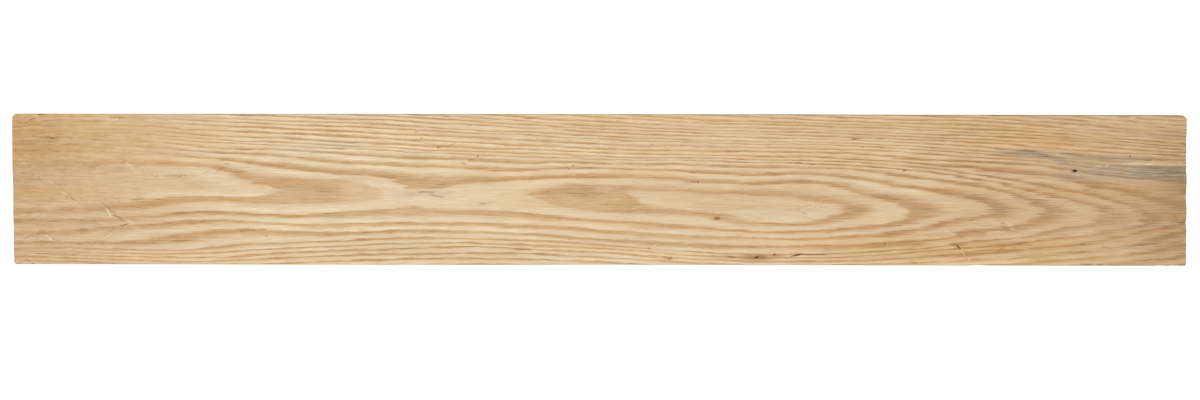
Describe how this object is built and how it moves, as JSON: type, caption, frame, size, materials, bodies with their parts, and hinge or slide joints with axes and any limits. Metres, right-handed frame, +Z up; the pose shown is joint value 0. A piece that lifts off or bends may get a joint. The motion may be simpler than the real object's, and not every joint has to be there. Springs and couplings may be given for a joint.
{
  "type": "reclaimed ash board",
  "caption": "Flat plank of reclaimed ash with eased edges, one end cut slightly out of square, worn corners, gouges, an old nail hole and grey iron staining.",
  "frame": {"origin": "middle of the underside, at the centre of the board's overall length and width", "axes": "+X along the board towards the stained end, +Y across it towards the tight-grained long edge, +Z up out of the show face"},
  "size_m": [1.2, 0.1544, 0.022],
  "materials": {
    "ash": "planed and worn, unfinished, matt"
  },
  "bodies": {
    "root": {"ash_board": "ash"}
  },
  "joints": []
}
